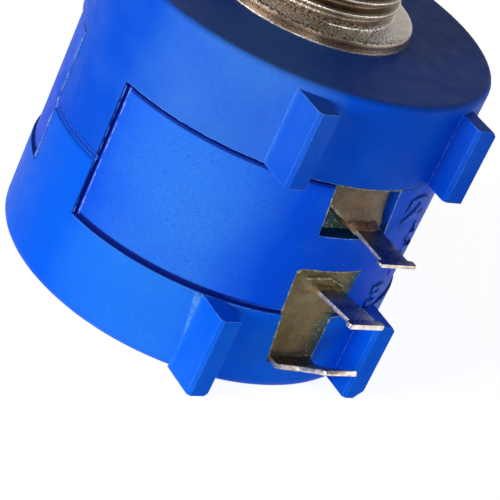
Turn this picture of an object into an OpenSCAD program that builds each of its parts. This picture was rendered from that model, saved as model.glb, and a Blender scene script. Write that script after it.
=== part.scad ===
// Ten-turn wirewound panel potentiometer, in millimetres.
// The origin is the centre of the mounting face, which is the top of the bushing's flange.
// +Z runs out along the shaft, and the three solder lugs point along -Y.

/* [Body] */
// Diameter of the front and rear shells
body_d = 22.2; // [21.8:0.1:25]
// Length of the body, from its front face to its rear face
body_len = 18.45; // [17:0.05:21]
// Wall of the shells' skirts and arms
shell_wall = 1.0; // [0.8:0.05:1.1]
// Thickness of the front shell's end wall
front_wall = 1.5; // [1.3:0.05:1.6]
// Thickness of the rear shell's end wall
rear_wall = 1.2; // [1.1:0.05:1.3]
// Length of the front shell's skirt
front_skirt = 5.0; // [4:0.1:5.2]
// Length of the rear shell's skirt
rear_skirt = 5.1; // [4.4:0.1:5.2]
// Distance from the front face to the seam where the shells' arms meet
seam_depth = 9.75; // [8:0.05:11]
// Angle that each pair of arms covers
arm_angle = 27.4; // [16:0.2:40]
// Depth of the panels below the shells' surface
panel_recess = 0.15; // [0:0.01:0.3]
// Rounding of the front edge
front_edge_r = 0.4; // [0.1:0.05:1]
// Rounding of the rear edge
rear_edge_r = 0.9; // [0.2:0.05:1.1]
// Bevel on both sides of the arms' seam
seam_bevel = 0.22; // [0.05:0.01:0.4]

/* [Ribs] */
// Distance from the middle plane to a rib's inner flank
rib_inner_x = 4.55; // [4:0.05:5]
// Width of a rib
rib_w = 1.4; // [0.8:0.05:1.6]
// Distance from the shaft's axis to the ribs' crests
rib_crest = 11.75; // [11.5:0.05:13]
// Distance from a shell's end face to the end of its ribs
rib_end_gap = 0.5; // [0.3:0.1:2]
// Chamfer on the ribs' long edges
rib_chamfer = 0.18; // [0.05:0.01:0.4]
// Bevel on the outer corner of a rib's rear end
rib_end_bevel = 0.7; // [0.1:0.05:0.9]
// Bevel on the outer corner of a rib's front end
rib_front_bevel = 0.4; // [0.1:0.05:0.6]

/* [Bushing and shaft] */
// Major diameter of the bushing's thread
thread_d = 9.525; // [9:0.005:10]
// Length of the threaded neck, from the mounting face
thread_len = 7.92; // [5:0.01:12]
// Distance from one thread ridge to the next
thread_pitch = 0.794; // [0.7:0.001:0.8]
// Depth of the thread's grooves
thread_depth = 0.42; // [0.2:0.01:0.5]
// Diameter of the bushing's flange
flange_d = 12.0; // [11.4:0.1:13]
// Height of the flange above the body's front face
flange_h = 0.78; // [0.4:0.01:1.5]
// Diameter of the shaft
shaft_d = 6.35; // [6:0.01:6.5]
// Distance from the mounting face to the shaft's end
shaft_reach = 20.6; // [14:0.1:50]
// Width of the screwdriver slot
slot_w = 1.2; // [0.8:0.1:1.6]
// Depth of the screwdriver slot
slot_depth = 1.6; // [0.8:0.1:2.5]
// Chamfer on the ends of the shaft and the bushing
end_chamfer = 0.5; // [0.2:0.05:0.9]
// Diameter of the shaft's pivot at the rear
pivot_d = 3.0; // [2:0.1:3.6]

/* [Resistance element] */
// Number of turns that the shaft makes from stop to stop
turns = 10; // [8:1:11]
// Room between each end of the element and the rotor's disc
end_room = 0.61; // [0.4:0.01:0.8]
// Diameter of the wound mandrel
element_d = 0.7; // [0.6:0.01:0.74]
// Wall of the element housing behind the element
housing_wall = 1.17; // [1:0.01:1.3]

/* [Rotor and carriage] */
// Thickness of the rotor's two discs
disc_t = 0.7; // [0.5:0.05:0.75]
// Diameter of the two rails
rail_d = 0.8; // [0.6:0.05:0.9]
// Angle between the two rails
rail_angle = 38; // [32:1:60]
// Height of the carriage along the rails
carriage_h = 1.7; // [1.5:0.05:1.8]
// Thickness of the slip ring
ring_t = 0.2; // [0.15:0.01:0.25]
// Thickness of the spring strip in the contacts
spring_t = 0.12; // [0.08:0.01:0.15]

/* [Lugs] */
// Depth of the front lug's middle below the body's front face
front_lug_depth = 7.4; // [7:0.05:7.7]
// Height of the middle lug's middle above the body's rear face
middle_lug_height = 6.95; // [6.7:0.05:7.2]
// Height of the rear lug's middle above the body's rear face
rear_lug_height = 2.25; // [2.1:0.05:2.6]
// Distance of the lugs' middle from the middle plane
lug_x = 0.5; // [-0.2:0.05:0.6]
// Width of a lug where it leaves the body
lug_root_w = 1.85; // [1.75:0.05:2.2]
// Width of the rear lug where it leaves the body
rear_lug_root_w = 2.7; // [2.2:0.05:2.75]
// Width of a lug's neck
lug_neck_w = 1.7; // [1.4:0.05:1.8]
// Width of a lug's tip
lug_tip_w = 2.15; // [2:0.05:2.6]
// Length of a lug's tip
lug_tip_len = 0.5; // [0.3:0.05:1]
// Thickness of a lug
lug_t = 0.3; // [0.25:0.01:0.4]
// Length of a lug beyond its bend
lug_len = 3.9; // [3:0.1:6]
// Distance from the body to the rear lug's bend
rear_lug_rise = 0.7; // [0:0.1:1.2]
// Angle by which the front lug is bent towards the shaft
front_lug_bend = 3; // [0:1:12]
// Angle by which the middle lug is bent towards the shaft
middle_lug_bend = 6; // [0:1:20]
// Angle by which the rear lug is bent towards the shaft
rear_lug_bend = 33; // [0:1:35]

/* [Clearances] */
// Gap between parts that are pressed, moulded or glued together
seat_gap = 0.01; // [0.005:0.005:0.02]
// Radial running clearance of the shaft, the pivot and the rails
run_gap = 0.03; // [0.01:0.005:0.06]
// Axial gap beside the washer, the retaining ring and the rotor's discs
end_gap = 0.2; // [0.12:0.01:0.22]
// Gap of the seam between the shells' arms
seam_gap = 0.06; // [0.03:0.01:0.2]
// Gap between a panel and the shells' skirts
panel_gap = 0.2; // [0.05:0.01:0.3]
// Gap between the wiper's tip and the element
wiper_gap = 0.06; // [0.03:0.01:0.1]
// Gap between the carriage's fins and the element's turns
fin_gap = 0.11; // [0.08:0.01:0.12]

/* [Hidden] */
$fn = 96;

moulded_blue = [0.05, 0.30, 0.88];
plated_brass = [0.66, 0.57, 0.47];
steel = [0.72, 0.72, 0.74];
bronze = [0.72, 0.50, 0.28];
nylon = [0.93, 0.91, 0.84];
epoxy_brown = [0.42, 0.35, 0.20];
tinned = [0.62, 0.58, 0.52];
wire_brown = [0.55, 0.38, 0.25];

far = 2 * body_d;            // longer than anything that it cuts
overlap = 0.2;               // how far a cut or a joined part runs past the face it meets

// Body levels along Z
body_r = body_d / 2;
front_z = -flange_h;
rear_z = front_z - body_len;
front_in_z = front_z - front_wall;
rear_in_z = rear_z + rear_wall;
front_skirt_z = front_z - front_skirt;
rear_skirt_z = rear_z + rear_skirt;
seam_z = front_z - seam_depth;

// Element housing
shell_in_r = body_r - shell_wall;
housing_r = shell_in_r - seat_gap;
bore_r = housing_r - housing_wall;
panel_r = body_r - panel_recess;
panel_half_angle = 90 - arm_angle / 2;
panel_side_gap = 0.8;        // angle of the seam beside an arm

// Bushing, with a lip that locks it in the front wall
flange_r = flange_d / 2;
thread_r = thread_d / 2;
thread_crest = 0.32;         // width of a ridge's flat top
thread_root = 0.08;          // width of a groove's flat bottom
thread_lead = 0.15;          // plain length between the flange and the first groove
grooves = floor((thread_len - end_chamfer - thread_lead) / thread_pitch);
neck_rim = 0.25;
neck_r = thread_r + neck_rim;
lip_rim = 0.7;
lip_r = neck_r + lip_rim;
lip_t = 0.6;
lip_rise = 0.4;
lip_z = front_in_z + lip_rise;

// Shaft: a free end, a relief groove, a ground journal, and the seat of the rotor
shaft_r = shaft_d / 2;
journal_step = 0.02;
journal_r = shaft_r - journal_step;
relief_w = 0.6;
relief_depth = 0.2;
relief_z = thread_len + 0.05;
stack_gap = 0.02;            // axial gap beside the washer and the retaining ring
washer_t = 0.25;
washer_rim = 0.7;
washer_r = shaft_r + washer_rim;
washer_z = front_in_z - stack_gap;
clip_t = 0.43;
clip_rim = 0.6;
clip_r = shaft_r + clip_rim;
clip_groove_depth = 0.5;
clip_groove_r = shaft_r - clip_groove_depth;
clip_grip = 0.9;             // how much narrower the clip's mouth is than its groove
clip_mouth = 2 * clip_groove_r - clip_grip;
clip_z = washer_z - washer_t - stack_gap;
clip_end_z = clip_z - clip_t;
clip_land = 0.15;
shoulder_z = clip_end_z - clip_land;
rotor_step = 0.275;
rotor_seat_r = shaft_r - rotor_step;
pivot_r = pivot_d / 2;

// Helical element, one turn longer than the travel; it fills the room between the discs
brush_room = 0.63;
element_turns = turns + 1;
element_len = body_len - front_wall - rear_wall - end_gap - brush_room - ring_t
    - 2 * disc_t - 2 * end_room;
pitch = element_len / element_turns;
segments = 30;
sides = 8;
element_gap = 0.05;
element_r = bore_r - element_gap - element_d / 2;
tip_r = element_r * cos(180 / segments) - element_d / 2 - wiper_gap;

// Rotor: two discs, a hub, and a cup in front that clears the washer and the clip
rotor_margin = 0.35;
rotor_r = tip_r - rotor_margin;
front_disc_z = front_in_z - end_gap;
front_disc_in_z = front_disc_z - disc_t;
ring_z = rear_in_z + brush_room;
rear_disc_z = ring_z + ring_t;
rear_disc_in_z = rear_disc_z + disc_t;
mid_z = (front_disc_in_z + rear_disc_in_z) / 2;
hub_wall = 1.3;
hub_r = rotor_seat_r + hub_wall;
cup_gap = 0.22;
cup_wall = 0.3;
cup_in_r = washer_r + cup_gap;
cup_r = cup_in_r + cup_wall;
cup_floor_z = shoulder_z - seat_gap;
cup_floor_t = 0.6;
ring_offset = 0.7;
ring_w = 1.9;
ring_in_r = hub_r + ring_offset;
ring_out_r = ring_in_r + ring_w;

// Carriage: at rest it stands at mid travel, on the side away from the lugs
carriage_side = 90;
wiper_reach = 0.62;
carriage_depth = 1.8;
carriage_out_r = tip_r - wiper_reach;
carriage_in_r = carriage_out_r - carriage_depth;
carriage_half_angle = rail_angle / 2 + 10;
rail_r = rail_d / 2;
rail_pos_r = (carriage_in_r + carriage_out_r) / 2;
rail_seat = 0.45;
fin_t = pitch - element_d - 2 * fin_gap;
fin_half_angle = 3.5;
strip_h = 0.5;
strip_half_angle = 15;
dimple_r = 0.5;
leaf_inset = 0.3;

// Stops in the housing, which a fin meets after half the turns each way
stop_gap_angle = 0.8;
stop_angle = 10;
stop_gap = 0.1;
stop_depth = 0.25;
stop_low = turns / 2 * pitch + element_d / 2 + stop_gap;
stop_high = front_disc_in_z - mid_z - stop_gap;
stop_in_r = tip_r - stop_depth;

// Rear bearing and the boss that holds it
bearing_wall = 0.9;
bearing_sink = 0.27;
bearing_r = pivot_r + bearing_wall;
bearing_z = rear_in_z - bearing_sink;
bearing_top_z = rear_disc_z - end_gap;
boss_wall = 1.2;
boss_r = bearing_r + boss_wall;
pivot_gap = 0.05;
pivot_end_z = bearing_z + pivot_gap;

// Lugs; the front one keeps its place from the front face, the others from the rear face
front_lug_z = front_z - front_lug_depth;
middle_lug_z = rear_z + middle_lug_height;
rear_lug_z = rear_z + rear_lug_height;
lug_root_gap = 0.05;
lug_root_y = -(panel_r + lug_root_gap);
neck_slope = 0.15;
tip_slope = 0.1;
leg_gap = 0.6;
leg_y = -(rotor_r + leg_gap);

// Where each lug stands beside the lugs' middle
front_lug_shift = 0.2;
middle_lug_shift = -0.1;
rear_lug_shift = -0.3;
front_lug_x = lug_x + front_lug_shift;
middle_lug_x = lug_x + middle_lug_shift;
rear_lug_x = lug_x + rear_lug_shift;

// Taps, in grooves of the bore's wall
tap_w = 1.0;
tap_t = 0.15;
tap_pad = 0.6;
tap_gap = 0.03;
groove_depth = 0.4;
groove_margin = 0.1;
groove_y = -(bore_r + groove_depth);
element_end = element_turns / 2 * pitch;

// Slip-ring brush
brush_w = 1.6;
brush_lift = 0.15;
brush_flat = 0.5;
brush_tail = 0.4;
brush_x = lug_x - brush_w / 2;

// Pockets and the potting compound in them; _run is a distance from the lugs' middle in X
pocket_floor = 0.55;
pocket_floor_y = -(bore_r + pocket_floor);
pocket_top_z = front_skirt_z + overlap;
pocket_depth = 0.85;
pocket_low_z = front_lug_z - pocket_depth;
pocket_left_run = 2.5;
pocket_right_run = 1.9;
pocket_low_left_run = 2.15;
pocket_low_right_run = 2.35;
opening_rise = 1.1;
opening_top_z = middle_lug_z + opening_rise;
opening_corner = 0.25;
opening_left_run = 2.35;
opening_right_run = 1.9;
opening_step = 0.2;
slot_left_run = 2.15;
slot_low_left_run = 1.75;
slot_right_run = 1.15;
slot_margin = 0.08;
slot_end_z = rear_lug_z - lug_t / 2 - slot_margin;
bare_rise = 0.6;             // above the front lug, where the unfilled corner begins
bare_run = 1.3;              // right of the front lug's middle, where it ends
epoxy_recess = 0.25;
epoxy_r = panel_r - epoxy_recess;

// A point at a radius and an angle
function polar(r, a) = [r * cos(a), r * sin(a)];

// Points of a quarter round from angle a0 to a1 about centre c
function arc(c, r, a0, a1, steps = 6) =
    [for (i = [0:steps]) c + polar(r, a0 + (a1 - a0) * i / steps)];

// A ring, or the part of one between two angles
module ring(r_in, r_out, z0, z1, a0 = 0, a1 = 360) {
    rotate([0, 0, a0]) rotate_extrude(angle = a1 - a0)
        translate([r_in, z0]) square([r_out - r_in, z1 - z0]);
}

// A disc between two levels
module disc(r, z0, z1) {
    translate([0, 0, z0]) cylinder(r = r, h = z1 - z0);
}

// The two openings between a shell's arms, from z0 to z1
module arm_windows(z0, z1) {
    for (side = [-90, 90])
        ring(shell_in_r - overlap, body_r + overlap, z0, z1,
            side - panel_half_angle, side + panel_half_angle);
}

// A straight rib from z0 to z1, with a chamfered crest, whose flank at x0 + rib_w is bevelled
// by low at its rear end and by high at its front end
module rib(x0, z0, z1, low, high) {
    root_y = sqrt(pow(shell_in_r + overlap, 2) - pow(rib_inner_x, 2));
    x1 = x0 + rib_w;
    c = rib_chamfer;
    intersection() {
        translate([0, 0, z0 - overlap]) linear_extrude(z1 - z0 + 2 * overlap)
            polygon([[x0, -root_y], [x0, c - rib_crest], [x0 + c, -rib_crest],
                [x1 - c, -rib_crest], [x1, c - rib_crest], [x1, -root_y]]);
        sweep_y(-far, 0) polygon([[x0 - overlap, z0], [x1 - low, z0],
            [x1 + overlap, z0 + low + overlap], [x1 + overlap, z1 - high - overlap],
            [x1 - high, z1], [x0 - overlap, z1]]);
    }
}

// The two ribs beside the lugs
module ribs(z0, z1, low, high) {
    rib(-rib_inner_x - rib_w, z0, z1, low / 2, high / 2);
    rib(rib_inner_x, z0, z1, low, high);
}

// The turned blank of the bushing; grow makes the seat that it is moulded into
module bushing_blank(grow = 0) {
    rotate_extrude() polygon([[0, front_in_z - grow], [neck_r + grow, front_in_z - grow],
        [neck_r + grow, lip_z - grow], [lip_r + grow, lip_z - grow],
        [lip_r + grow, lip_z + lip_t + grow], [neck_r + grow, lip_z + lip_t + grow],
        [neck_r + grow, front_z + grow], [0, front_z + grow]]);
}

module front_shell() {
    color(moulded_blue) difference() {
        union() {
            rotate_extrude() polygon(concat(
                arc([body_r - front_edge_r, front_z - front_edge_r], front_edge_r, 90, 0),
                [[body_r, seam_z + seam_gap / 2 + seam_bevel],
                [body_r - seam_bevel, seam_z + seam_gap / 2],
                [shell_in_r, seam_z + seam_gap / 2],
                [shell_in_r, front_in_z], [0, front_in_z], [0, front_z]]));
            ribs(front_skirt_z, front_z - rib_end_gap, rib_chamfer, rib_front_bevel);
        }
        arm_windows(seam_z - seam_gap, front_skirt_z);
        bushing_blank(seat_gap);
    }
}

module rear_shell() {
    color(moulded_blue) difference() {
        union() {
            rotate_extrude() polygon(concat([[0, rear_z]],
                arc([body_r - rear_edge_r, rear_z + rear_edge_r], rear_edge_r, -90, 0),
                [[body_r, seam_z - seam_gap / 2 - seam_bevel],
                [body_r - seam_bevel, seam_z - seam_gap / 2],
                [shell_in_r, seam_z - seam_gap / 2], [shell_in_r, rear_in_z],
                [boss_r, rear_in_z], [boss_r, bearing_top_z],
                [bearing_r + seat_gap, bearing_top_z], [bearing_r + seat_gap, bearing_z],
                [0, bearing_z]]));
            ribs(rear_z + rib_end_gap / 3, rear_skirt_z, rib_end_bevel, rib_front_bevel);
        }
        arm_windows(rear_skirt_z, seam_z + seam_gap);
        sweep_y(-far, shell_wall - housing_r) slot_outline();
    }
}

// Outline of the front pocket, in X and Z; it leans a little
module front_pocket_outline(inset = 0) {
    polygon([[lug_x - pocket_left_run + inset, pocket_top_z],
        [lug_x - pocket_low_left_run + inset, pocket_low_z + inset],
        [lug_x + pocket_low_right_run - inset, pocket_low_z + inset],
        [lug_x + pocket_right_run - inset, pocket_top_z]]);
}

// Outline of the middle lug's opening, which runs on into the rear shell's slot
module opening_outline(inset = 0) {
    left = lug_x - opening_left_run + inset;
    right = lug_x + opening_right_run - inset;
    polygon([[left + opening_corner, opening_top_z - inset],
        [left, opening_top_z - inset - opening_corner],
        [lug_x - slot_left_run + inset, rear_skirt_z],
        [right - opening_step, rear_skirt_z], [right, opening_top_z - inset]]);
}

// Outline of the rear shell's slot
module slot_outline(inset = 0) {
    polygon([[lug_x - slot_left_run + inset, rear_skirt_z + overlap],
        [lug_x - slot_low_left_run + inset, slot_end_z + inset],
        [lug_x + slot_right_run - inset, slot_end_z + inset],
        [lug_x + slot_right_run - inset, rear_skirt_z + overlap]]);
}

// An outline in X and Z, swept along Y from y0 to y1
module sweep_y(y0, y1) {
    translate([0, y1, 0]) rotate([90, 0, 0]) linear_extrude(y1 - y0) children();
}

module element_housing() {
    color(moulded_blue) difference() {
        union() {
            ring(bore_r, housing_r, rear_in_z + seat_gap, front_in_z - seat_gap);
            for (side = [-90, 90])
                ring(bore_r + housing_wall / 2, panel_r, rear_skirt_z + panel_gap,
                    front_skirt_z - panel_gap, side - panel_half_angle + panel_side_gap,
                    side + panel_half_angle - panel_side_gap);
            housing_stops();
        }
        sweep_y(-far, pocket_floor_y) front_pocket_outline();
        sweep_y(-far, pocket_floor_y) opening_outline();
        lug_clearance(front_lug_x, front_lug_z, lug_root_w, groove_y + overlap);
        lug_clearance(middle_lug_x, middle_lug_z, lug_root_w, groove_y + overlap);
        tap_groove(front_lug_z - lug_t / 2, mid_z + element_end + tap_pad / 2 + groove_margin);
        tap_groove(mid_z - element_end - tap_pad / 2 - groove_margin, middle_lug_z + lug_t / 2);
        translate([rear_lug_x - rear_lug_root_w / 2 - seat_gap, -far, rear_z])
            cube([rear_lug_root_w + 2 * seat_gap, far,
                rear_lug_z + lug_t / 2 + seat_gap - rear_z]);
    }
}

// Two blocks on the bore's wall, which stop a fin of the carriage at each end
module housing_stops() {
    for (way = [-1, 1]) {
        near = fin_half_angle + stop_gap_angle;
        a0 = carriage_side + (way > 0 ? near : -near - stop_angle);
        ring(stop_in_r, bore_r + housing_wall / 2,
            mid_z + (way > 0 ? stop_low : -stop_high),
            mid_z + (way > 0 ? stop_high : -stop_low), a0, a0 + stop_angle);
    }
}

// A channel in the bore's wall, in which a tap runs from the element's end to its lug
module tap_groove(z0, z1) {
    translate([lug_x - tap_w / 2 - groove_margin, groove_y, z0])
        cube([tap_w + 2 * groove_margin, housing_wall, z1 - z0]);
}

// The neck's outline: ring grooves at the thread's pitch, each between two flat ridges
function thread_profile() = [for (i = [0.5:grooves]) let (
    z = thread_lead + i * thread_pitch, root_r = thread_r - thread_depth)
    each [[thread_r, z - (thread_pitch - thread_crest) / 2], [root_r, z - thread_root / 2],
        [root_r, z + thread_root / 2], [thread_r, z + (thread_pitch - thread_crest) / 2]]];

module bushing() {
    color(plated_brass) difference() {
        union() {
            bushing_blank();
            disc(flange_r, front_z, 0);
            rotate_extrude() polygon(concat([[0, -overlap], [thread_r, -overlap]],
                thread_profile(), [[thread_r, thread_len - end_chamfer],
                [thread_r - end_chamfer, thread_len], [0, thread_len]]));
        }
        disc(journal_r + run_gap, -far, far);
    }
}

module shaft() {
    color(steel) difference() {
        rotate_extrude() polygon([[0, shaft_reach], [shaft_r - end_chamfer, shaft_reach],
            [shaft_r, shaft_reach - end_chamfer], [shaft_r, relief_z],
            [shaft_r - relief_depth, relief_z],
            [shaft_r - relief_depth, relief_z - relief_w], [journal_r, relief_z - relief_w],
            [journal_r, clip_z + stack_gap / 2],
            [clip_groove_r, clip_z + stack_gap / 2],
            [clip_groove_r, clip_end_z - stack_gap / 2],
            [journal_r, clip_end_z - stack_gap / 2],
            [journal_r, shoulder_z], [rotor_seat_r, shoulder_z],
            [rotor_seat_r, rear_disc_z], [pivot_r, rear_disc_z],
            [pivot_r, pivot_end_z], [0, pivot_end_z]]);
        translate([-far / 2, -slot_w / 2, shaft_reach - slot_depth])
            cube([far, slot_w, far]);
    }
}

module thrust_washer() {
    color(bronze) ring(shaft_r + run_gap, washer_r, washer_z - washer_t, washer_z);
}

// Open clip, which snaps into the shaft's groove from the side
module retaining_ring() {
    color(steel) difference() {
        ring(clip_groove_r + seat_gap, clip_r, clip_end_z, clip_z);
        translate([0, -clip_mouth / 2, -far / 2]) cube([far, clip_mouth, far]);
    }
}

module rotor() {
    color(nylon) difference() {
        rotate_extrude() polygon([[rotor_seat_r + seat_gap, rear_disc_z],
            [rotor_r, rear_disc_z], [rotor_r, rear_disc_in_z], [hub_r, rear_disc_in_z],
            [hub_r, cup_floor_z - cup_floor_t], [cup_r, cup_floor_z - cup_floor_t],
            [cup_r, front_disc_in_z],
            [rotor_r, front_disc_in_z], [rotor_r, front_disc_z], [cup_in_r, front_disc_z],
            [cup_in_r, cup_floor_z], [rotor_seat_r + seat_gap, cup_floor_z]]);
        at_rail(-1) disc(rail_r + seat_gap, rear_disc_in_z - rail_seat,
            front_disc_in_z + rail_seat);
        at_rail(1) disc(rail_r + seat_gap, rear_disc_z - overlap,
            front_disc_in_z + rail_seat);
    }
}

// Places a rail, or a hole for one, on one side of the carriage's middle
module at_rail(side) {
    spot = polar(rail_pos_r, carriage_side + side * rail_angle / 2);
    translate([spot[0], spot[1], 0]) children();
}

module guide_rail() {
    color(steel) at_rail(-1) disc(rail_r, rear_disc_in_z - rail_seat + seat_gap,
        front_disc_in_z + rail_seat - seat_gap);
}

// The rail that carries the wiper's current, through the rear disc to the slip ring
module contact_rail() {
    color(bronze) at_rail(1) disc(rail_r, rear_disc_z + seat_gap,
        front_disc_in_z + rail_seat - seat_gap);
}

module wiper_carriage() {
    color("ivory") difference() {
        union() {
            ring(carriage_in_r, carriage_out_r, mid_z - carriage_h / 2, mid_z + carriage_h / 2,
                carriage_side - carriage_half_angle, carriage_side + carriage_half_angle);
            for (way = [-1, 1])
                ring(carriage_out_r - overlap, element_r, mid_z + way * pitch / 2 - fin_t / 2,
                    mid_z + way * pitch / 2 + fin_t / 2,
                    carriage_side - fin_half_angle, carriage_side + fin_half_angle);
        }
        for (side = [-1, 1]) at_rail(side) disc(rail_r + run_gap, -far, far);
    }
}

// Spring strip on the carriage's outer face, with a dimple that rides on the element
module wiper_contact() {
    strip_in_r = carriage_out_r + seat_gap;
    color(bronze) {
        ring(strip_in_r, strip_in_r + spring_t, mid_z - strip_h / 2, mid_z + strip_h / 2,
            carriage_side - strip_half_angle, carriage_side + strip_half_angle);
        rotate([0, 0, carriage_side]) intersection() {
            translate([tip_r - dimple_r, 0, mid_z - strip_h / 2])
                cylinder(r = dimple_r, h = strip_h);
            translate([strip_in_r, -far / 2, mid_z - far / 2]) cube(far);
        }
    }
}

// Leaf on the carriage's top, which leads from the wiper to the contact rail
module return_contact() {
    leaf_z = mid_z + carriage_h / 2 + seat_gap;
    color(bronze) difference() {
        ring(carriage_in_r + leaf_inset, carriage_out_r, leaf_z, leaf_z + spring_t,
            carriage_side, carriage_side + carriage_half_angle);
        at_rail(1) disc(rail_r + run_gap, -far, far);
    }
}

module slip_ring() {
    color(bronze) ring(ring_in_r, ring_out_r, ring_z, rear_disc_z - seat_gap);
}

// Leaf spring that runs in from the rear lug's leg and bears on the slip ring
module slip_ring_brush() {
    mid_y = -(ring_in_r + ring_out_r) / 2;
    root_y = leg_y + seat_gap;
    low = rear_in_z + brush_lift;
    high = ring_z - spring_t - wiper_gap;
    tail = (low + high) / 2;
    color(bronze) translate([brush_x, 0, 0]) rotate([90, 0, 90]) linear_extrude(brush_w)
        polygon([[root_y, low], [mid_y - brush_flat, high], [mid_y + brush_flat, high],
            [mid_y + brush_flat + brush_tail, tail],
            [mid_y + brush_flat + brush_tail, tail + spring_t],
            [mid_y + brush_flat, high + spring_t], [mid_y - brush_flat, high + spring_t],
            [root_y, low + spring_t]]);
}

// Right-hand helix of round section; its ends stop above the lugs' side
module resistance_element() {
    steps = element_turns * segments;
    function rib_point(i, j) = let (
        a = carriage_side + 360 * (i / segments - element_turns / 2),
        r = element_r + element_d / 2 * cos(360 * j / sides),
        z = mid_z + pitch * (i / segments - element_turns / 2)
            + element_d / 2 * sin(360 * j / sides))
        [r * cos(a), r * sin(a), z];
    points = [for (i = [0:steps], j = [0:sides - 1]) rib_point(i, j)];
    skin = [for (i = [0:steps - 1], j = [0:sides - 1]) let (k = (j + 1) % sides)
        [i * sides + j, i * sides + k, (i + 1) * sides + k, (i + 1) * sides + j]];
    first_end = [for (j = [sides - 1:-1:0]) j];
    last_end = [for (j = [0:sides - 1]) steps * sides + j];
    color(wire_brown) polyhedron(points, concat(skin, [first_end, last_end]));
}

// Strip in a tap groove, from a lug's face to a pad that meets the element's end
module tap(lug_face_z, end_z) {
    low = min(lug_face_z, end_z - tap_pad / 2);
    high = max(lug_face_z, end_z + tap_pad / 2);
    pad_y = -(element_r + element_d / 2 + tap_gap);
    strip_y = groove_y + seat_gap;
    color(tinned) union() {
        translate([lug_x - tap_w / 2, strip_y, low]) cube([tap_w, tap_t, high - low]);
        translate([lug_x - tap_w / 2, strip_y, end_z - tap_pad / 2])
            cube([tap_w, pad_y - strip_y, tap_pad]);
    }
}

module front_tap() {
    tap(front_lug_z - lug_t / 2 + seat_gap, mid_z + element_end);
}

module rear_tap() {
    tap(middle_lug_z + lug_t / 2 - seat_gap, mid_z - element_end);
}

// Flat lug with a necked shank and a square tip, bent where it leaves the body
module lug(x, z, root_w, inner_y, bend, rise = 0) {
    bend_y = lug_root_y - rise;
    neck_y = lug_tip_len - lug_len;
    shank = [[root_w, 0], [lug_neck_w, neck_y + neck_slope],
        [lug_neck_w, neck_y], [lug_tip_w, neck_y - tip_slope], [lug_tip_w, -lug_len]];
    outline = concat([for (p = shank) [p[0] / 2, p[1]]],
        [for (i = [len(shank) - 1:-1:0]) [-shank[i][0] / 2, shank[i][1]]]);
    translate([x, 0, z]) {
        translate([-root_w / 2, bend_y, -lug_t / 2]) cube([root_w, inner_y - bend_y, lug_t]);
        translate([-root_w / 2, bend_y, 0]) rotate([0, 90, 0])
            cylinder(r = lug_t / 2, h = root_w);
        translate([0, bend_y, 0]) rotate([-bend, 0, 0]) translate([0, 0, -lug_t / 2])
            linear_extrude(lug_t) polygon(outline);
    }
}

module front_lug() {
    color(tinned) lug(front_lug_x, front_lug_z, lug_root_w, groove_y, front_lug_bend);
}

module middle_lug() {
    color(tinned) lug(middle_lug_x, middle_lug_z, lug_root_w, groove_y, middle_lug_bend);
}

// The wiper's lug turns down inside the body and stands on the rear wall
module rear_lug() {
    color(tinned) {
        lug(rear_lug_x, rear_lug_z, rear_lug_root_w, leg_y, rear_lug_bend, rear_lug_rise);
        translate([rear_lug_x - rear_lug_root_w / 2, leg_y - lug_t, rear_in_z + seat_gap])
            cube([rear_lug_root_w, lug_t, rear_lug_z + lug_t / 2 - rear_in_z - seat_gap]);
    }
}

// The space that a lug takes, with a gap round it, from outside the body to inner_y
module lug_clearance(x, z, root_w, inner_y = 0) {
    translate([x - root_w / 2 - seat_gap, -far, z - lug_t / 2 - seat_gap])
        cube([root_w + 2 * seat_gap, far + inner_y, lug_t + 2 * seat_gap]);
}

// Potting compound round the front lug; it leaves a low corner of the pocket open
module front_epoxy() {
    color(epoxy_brown) difference() {
        intersection() {
            sweep_y(-far, pocket_floor_y - seat_gap) difference() {
                front_pocket_outline(2 * seat_gap);
                polygon([[-far, front_lug_z + bare_rise],
                    [lug_x - pocket_left_run, front_lug_z + bare_rise],
                    [lug_x + bare_run, pocket_low_z - overlap],
                    [lug_x + bare_run, -far], [-far, -far]]);
            }
            disc(epoxy_r, rear_z, front_skirt_z - seat_gap);
        }
        lug_clearance(front_lug_x, front_lug_z, lug_root_w);
    }
}

// Potting compound round the middle and rear lugs
module rear_epoxy() {
    color(epoxy_brown) difference() {
        intersection() {
            union() {
                sweep_y(-far, pocket_floor_y - seat_gap) opening_outline(seat_gap);
                sweep_y(-far, -housing_r - seat_gap) slot_outline(seat_gap);
            }
            disc(epoxy_r, rear_z, front_z);
        }
        lug_clearance(middle_lug_x, middle_lug_z, lug_root_w);
        lug_clearance(rear_lug_x, rear_lug_z, rear_lug_root_w);
    }
}

module rear_bearing() {
    color(bronze) ring(pivot_r + run_gap, bearing_r, bearing_z + seat_gap, bearing_top_z);
}

front_shell();
rear_shell();
element_housing();
bushing();
shaft();
thrust_washer();
retaining_ring();
rotor();
guide_rail();
contact_rail();
wiper_carriage();
wiper_contact();
return_contact();
slip_ring();
slip_ring_brush();
resistance_element();
front_tap();
rear_tap();
front_lug();
middle_lug();
rear_lug();
front_epoxy();
rear_epoxy();
rear_bearing();
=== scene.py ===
"""Looks of a ten-turn wirewound panel potentiometer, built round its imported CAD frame.

Sizes are in metres, in the CAD frame: the origin is the centre of the mounting face, +Z runs out
along the shaft, and the solder lugs point along -Y. MM turns millimetres into metres.
"""
import math

import bmesh
import bpy
from mathutils import Matrix, Vector, noise

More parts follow.
